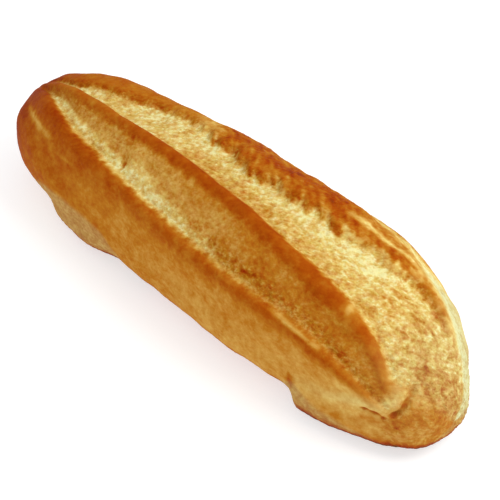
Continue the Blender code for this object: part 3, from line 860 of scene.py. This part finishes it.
def crust_mesh(points, ends):
    """A mesh of the rings with a fan over each end, and nothing below the table."""
    rings, around = points.shape[:2]
    index = np.arange(rings * around).reshape(rings, around)
    after = np.roll(index, -1, axis=1)
    quads = np.stack([index[:-1], index[1:], after[1:], after[:-1]], axis=-1).reshape(-1, 4)
    slim, blunt = rings * around, rings * around + 1
    fans = [(slim, a, b) for a, b in zip(index[0], after[0])]
    fans += [(blunt, b, a) for a, b in zip(index[-1], after[-1])]
    vertices = np.concatenate([points.reshape(-1, 3), np.array(ends)])
    vertices[:, :2] -= MIDDLE
    vertices[:, 2] = np.maximum(vertices[:, 2], 0)
    vertices = fit_inside(vertices, CAD_BOX)
    mesh = bpy.data.meshes.new(PIECE_NAME)
    mesh.from_pydata(vertices.tolist(), [], quads.tolist() + [tuple(map(int, fan)) for fan in fans])
    mesh.shade_smooth()
    return mesh


def add_field(mesh, name, grid):
    """A number for each point of the crust, for its material to read."""
    values = np.concatenate([grid.ravel(), [grid[0].mean(), grid[-1].mean()]])
    mesh.attributes.new(name, "FLOAT", "POINT").data.foreach_set("value", values.astype(np.float32))


class Maker:
    """Adds and links the nodes of one material."""

    def __init__(self, name):
        self.material = bpy.data.materials.new(name)
        self.material.use_nodes = True
        self.tree = self.material.node_tree
        self.shader = self.tree.nodes["Principled BSDF"]

    def add(self, kind, **settings):
        node = self.tree.nodes.new(kind)
        for name, value in settings.items():
            setattr(node, name, value)
        return node

    def feed(self, socket, value):
        if isinstance(value, bpy.types.NodeSocket):
            self.tree.links.new(value, socket)
        else:
            socket.default_value = value

    def feed_all(self, node, values):
        """Feeds the node's sockets of those names."""
        for name, value in values.items():
            self.feed(node.inputs[name], value)

    def math(self, operation, *values):
        node = self.add("ShaderNodeMath", operation=operation)
        for socket, value in zip(node.inputs, values):
            self.feed(socket, value)
        return node.outputs["Value"]

    def field(self, name):
        return self.add("ShaderNodeAttribute", attribute_name=name).outputs["Fac"]

    def noise(self, size, degrees=0, detail=2.0, roughness=0.5):
        """Noise from 0 to 1, in streaks of that length and width that lean from +X towards the back."""
        length, width = size
        turn = self.add("ShaderNodeVectorRotate", rotation_type="Z_AXIS")
        place = self.add("ShaderNodeTexCoord").outputs["Object"]
        self.feed_all(turn, {"Vector": place, "Angle": -math.radians(degrees)})
        stretch = self.add("ShaderNodeVectorMath", operation="MULTIPLY")
        self.feed(stretch.inputs[0], turn.outputs["Vector"])
        self.feed(stretch.inputs[1], (1 / length, 1 / width, 1 / width))
        node = self.add("ShaderNodeTexNoise")
        self.feed_all(node, {"Vector": stretch.outputs["Vector"], "Scale": 1})
        self.feed_all(node, {"Detail": detail, "Roughness": roughness})
        return node.outputs["Fac"]

    def spread(self, value, old, new):
        """The value, rescaled from the old range to the new one."""
        node = self.add("ShaderNodeMapRange")
        self.feed_all(node, {"Value": value, "From Min": old[0], "From Max": old[1]})
        self.feed_all(node, {"To Min": new[0], "To Max": new[1]})
        return node.outputs["Result"]

    def ramp(self, value, stops):
        """A colour for the value, from (position, colour) stops."""
        node = self.add("ShaderNodeValToRGB")
        elements = node.color_ramp.elements
        for element, (position, colour) in zip(elements, (stops[0], stops[-1])):
            element.position, element.color = position, (*colour, 1)
        for position, colour in stops[1:-1]:
            elements.new(position).color = (*colour, 1)
        self.feed(node.inputs["Fac"], value)
        return node.outputs["Color"]

    def dulled(self, colour, dullness, tint):
        """The colour, yellower, greyer and darker where it is dull, and yellower or redder with the tint."""
        node = self.add("ShaderNodeHueSaturation")
        self.feed_all(node, {
            "Color": colour,
            "Hue": self.math("MULTIPLY_ADD", tint, TINT_HUE, self.spread(dullness, (0, 1), (0.5, 0.52))),
            "Saturation": self.spread(dullness, (0, 1), (1, 0.8)),
            "Value": self.spread(dullness, (0, 1), (1, 0.84)),
        })
        return node.outputs["Color"]


def crust_material(colours):
    """Baked crust: pale, crumbly and dull where raw, brown and faintly shiny on the crests."""
    maker = Maker("baked crust")
    browning, rawness, crumb, dullness = map(maker.field, ("browning", "rawness", "crumb", "dullness"))
    mottle = maker.noise(MOTTLE_SIZE, detail=4, roughness=0.6)
    mottle = maker.spread(mottle, (0.25, 0.75), (-0.12, 0.12))
    grain = maker.noise(GRAIN_SIZE, VALLEY_LEAN, detail=4, roughness=0.7)
    grain = maker.spread(grain, (0.3, 0.7), (-1, 1))
    # The crumb darkens the colour in its pits and pales it on its folds: partly the crust's tone, partly
    # painted shade and painted highlight
    folds = maker.math("MULTIPLY", maker.math("MULTIPLY", crumb, rawness), CRUMB_TONE_AND_SHADING)
    grains = maker.math("MULTIPLY", grain, maker.spread(rawness, (0, 1), (SMOOTH_GRAIN, RAW_GRAIN)))
    value = maker.math("ADD", maker.math("ADD", browning, mottle), maker.math("ADD", folds, grains))
    stops = (
        (0, colours.cream), (0.2, colours.straw), (0.4, colours.gold), (0.6, colours.tan),
        (0.8, colours.brown), (1, colours.dark), (SCORCHED_AND_SHADED, colours.scorched_and_shaded),
    )
    share = maker.math("DIVIDE", value, SCORCHED_AND_SHADED)
    colour = maker.ramp(share, [(at / SCORCHED_AND_SHADED, tuple(colour)) for at, colour in stops])
    tint = maker.spread(maker.noise(TINT_SIZE, VALLEY_LEAN), (0.3, 0.7), (-1, 1))
    relief = maker.add("ShaderNodeBump")
    height = maker.math("MULTIPLY", grain, maker.spread(rawness, (0, 1), (0.25, 1)))
    maker.feed_all(relief, {"Strength": 1.0, "Distance": GRAIN_HEIGHT, "Height": height})
    maker.feed_all(maker.shader, {
        "Base Color": maker.dulled(colour, dullness, maker.math("MULTIPLY", tint, rawness)),
        "Roughness": maker.spread(value, (0.2, 0.9), (0.8, 0.55)),
        "Specular IOR Level": 0.01,
        "Normal": relief.outputs["Normal"],
    })
    return maker.material


def table_material(colour, glow):
    """Pale and matt, with light from under its surface."""
    maker = Maker("pale table")
    maker.feed_all(maker.shader, {
        "Base Color": (*colour, 1),
        "Roughness": 0.8,
        "Emission Color": WHITE,
        "Emission Strength": glow,
    })
    return maker.material


def add_object(name, data):
    made = bpy.data.objects.new(name, data)
    bpy.context.scene.collection.objects.link(made)
    return made


def add_softbox(name, place, aim, size, power, colour):
    light = bpy.data.lights.new(name, "AREA")
    light.shape, light.size, light.energy, light.color = "DISK", size, power, colour
    lamp = add_object(name, light)
    lamp.location = place
    lamp.rotation_euler = (Vector(aim) - Vector(place)).to_track_quat("-Z", "Y").to_euler()
    return lamp


class EclairSizes(PropertyGroup):
    """The crust's size and how finely it is made."""

    length: FloatProperty(
        name="Length", description="From end to end", default=140 * MM, min=0.02,
        unit="LENGTH", subtype="DISTANCE",
    )
    rings: IntProperty(name="Rings", description="Rings of points along the length", default=376, min=60)
    steps: IntProperty(name="Steps", description="Points round each ring", default=260, min=60)
    crumb_height: FloatProperty(
        name="Crumb height", description="From the pits to the folds of the raw valleys",
        default=0.42 * MM, min=0, precision=5, unit="LENGTH", subtype="DISTANCE",
    )


def colour_property(name, description, default):
    return FloatVectorProperty(
        name=name, description=description, default=default, min=0, max=1, size=3, subtype="COLOR"
    )


class EclairColours(PropertyGroup):
    """The crust's colours, from raw dough to the darkest crest."""

    cream: colour_property("Cream", "Folds that stayed pale", (0.87, 0.8, 0.38))
    straw: colour_property("Straw", "The pale valleys", (0.75, 0.53, 0.15))
    gold: colour_property("Gold", "The foot and the blunt end", (0.62, 0.33, 0.065))
    tan: colour_property("Tan", "The flank and the slopes", (0.49, 0.18, 0.013))
    brown: colour_property("Brown", "The crests and the slim end", (0.4, 0.085, 0.003))
    dark: colour_property("Dark brown", "The darkest crust", (0.3, 0.035, 0.001))
    # The scorched colour is the base's baked edge, darkened further with painted contact shade
    scorched_and_shaded: colour_property("Scorched", "The edge that lay on the hot tray", (0.14, 0.05, 0.011))


class EclairStudio(PropertyGroup):
    """The camera, the table and the light."""

    azimuth: FloatProperty(
        name="Azimuth", description="Of the camera round the eclair", default=math.radians(47),
        subtype="ANGLE",
    )
    elevation: FloatProperty(
        name="Elevation", description="Of the camera above the table", default=math.radians(43),
        subtype="ANGLE",
    )
    distance: FloatProperty(
        name="Distance", description="From the camera to its aim", default=0.42,
        unit="LENGTH", subtype="DISTANCE",
    )
    focal_length: FloatProperty(
        name="Focal length", description="Of the camera, in millimetres", default=132.12, min=10,
        unit="CAMERA",
    )
    aim: FloatVectorProperty(
        name="Aim", description="What the camera looks at", default=(0.00499, -0.00078, 0.01322), size=3,
        precision=5, unit="LENGTH", subtype="XYZ",
    )
    table: colour_property("Table", "The table's colour", (0.55, 0.55, 0.55))
    table_glow: FloatProperty(
        name="Table glow", description="Light from under the table's surface", default=0.6, min=0
    )
    surround: FloatProperty(name="Surround", description="Light from all around", default=0.78, min=0)
    key: FloatProperty(
        name="Key light", description="Power of the soft light at the back", default=1.5, min=0,
        unit="POWER",
    )


class ECLAIR_OT_bake_crust(Operator):
    """Makes the crust in place of the plain solid"""

    bl_idname = "eclair.bake_crust"
    bl_label = "Bake Crust"
    bl_options = {"REGISTER", "UNDO"}

    def execute(self, context):
        sizes, colours = context.scene.eclair_sizes, context.scene.eclair_colours
        points, ends, fields = crust_grid(sizes)
        mesh = crust_mesh(points, ends)
        for name, grid in fields.items():
            add_field(mesh, name, grid)
        mesh.materials.append(crust_material(colours))
        crust = add_object(PIECE_NAME, mesh)
        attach(crust, BODY)
        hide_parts(CAD_NODE)
        return {"FINISHED"}


class ECLAIR_OT_set_studio(Operator):
    """Sets the table, the lights and the camera"""

    bl_idname = "eclair.set_studio"
    bl_label = "Set Studio"
    bl_options = {"REGISTER", "UNDO"}

    def execute(self, context):
        studio = context.scene.eclair_studio
        self.set_table(studio)
        self.set_lights(context.scene, studio)
        self.set_camera(context.scene, studio)
        return {"FINISHED"}

    def set_table(self, studio):
        bm = bmesh.new()
        bmesh.ops.create_grid(bm, x_segments=1, y_segments=1, size=TABLE_REACH)
        mesh = bpy.data.meshes.new("table")
        bm.to_mesh(mesh)
        bm.free()
        mesh.materials.append(table_material(studio.table, studio.table_glow))
        add_object("table", mesh)

    def set_lights(self, scene, studio):
        world = bpy.data.worlds.new("studio")
        world.use_nodes = True
        background = world.node_tree.nodes["Background"]
        background.inputs["Color"].default_value = WHITE
        background.inputs["Strength"].default_value = studio.surround
        scene.world = world
        add_softbox("key", KEY_PLACE, KEY_AIM, KEY_SIZE, studio.key, KEY_COLOUR)
        scene.view_settings.view_transform = "Standard"

    def set_camera(self, scene, studio):
        around, rise = studio.azimuth, studio.elevation
        reach = math.cos(rise)
        back = Vector((math.sin(around) * reach, -math.cos(around) * reach, math.sin(rise)))
        right = Vector((math.cos(around), math.sin(around), 0))
        data = bpy.data.cameras.new("camera")
        data.lens, data.sensor_width = studio.focal_length, 36
        data.clip_start, data.clip_end = 0.01, 100
        camera = add_object("camera", data)
        turn = Matrix((right, back.cross(right), back)).transposed().to_4x4()
        camera.matrix_world = Matrix.Translation(Vector(studio.aim) + back * studio.distance) @ turn
        scene.camera = camera


class ECLAIR_PT_panel(Panel):
    """The eclair's sizes, colours and steps"""

    bl_idname = "ECLAIR_PT_panel"
    bl_label = "Baked Eclair"
    bl_space_type = "VIEW_3D"
    bl_region_type = "UI"
    bl_category = "Eclair"

    def draw(self, context):
        layout = self.layout
        scene = context.scene
        for group in (scene.eclair_sizes, scene.eclair_colours, scene.eclair_studio):
            box = layout.box()
            for name in group.__annotations__:
                box.prop(group, name)
        layout.operator(ECLAIR_OT_bake_crust.bl_idname)
        layout.operator(ECLAIR_OT_set_studio.bl_idname)


CLASSES = (
    EclairSizes, EclairColours, EclairStudio, ECLAIR_OT_bake_crust, ECLAIR_OT_set_studio, ECLAIR_PT_panel,
)


def register():
    for cls in CLASSES:
        bpy.utils.register_class(cls)
    bpy.types.Scene.eclair_sizes = PointerProperty(type=EclairSizes)
    bpy.types.Scene.eclair_colours = PointerProperty(type=EclairColours)
    bpy.types.Scene.eclair_studio = PointerProperty(type=EclairStudio)


def unregister():
    del bpy.types.Scene.eclair_studio
    del bpy.types.Scene.eclair_colours
    del bpy.types.Scene.eclair_sizes
    for cls in reversed(CLASSES):
        bpy.utils.unregister_class(cls)


def clear_startup():
    """Removes what a new file starts with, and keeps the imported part."""
    for name in ("Cube", "Light", "Camera"):
        if name in bpy.data.objects:
            bpy.data.objects.remove(bpy.data.objects[name])


def main():
    clear_startup()
    register()
    bpy.ops.eclair.bake_crust()
    bpy.ops.eclair.set_studio()


if __name__ == "__main__":
    main()
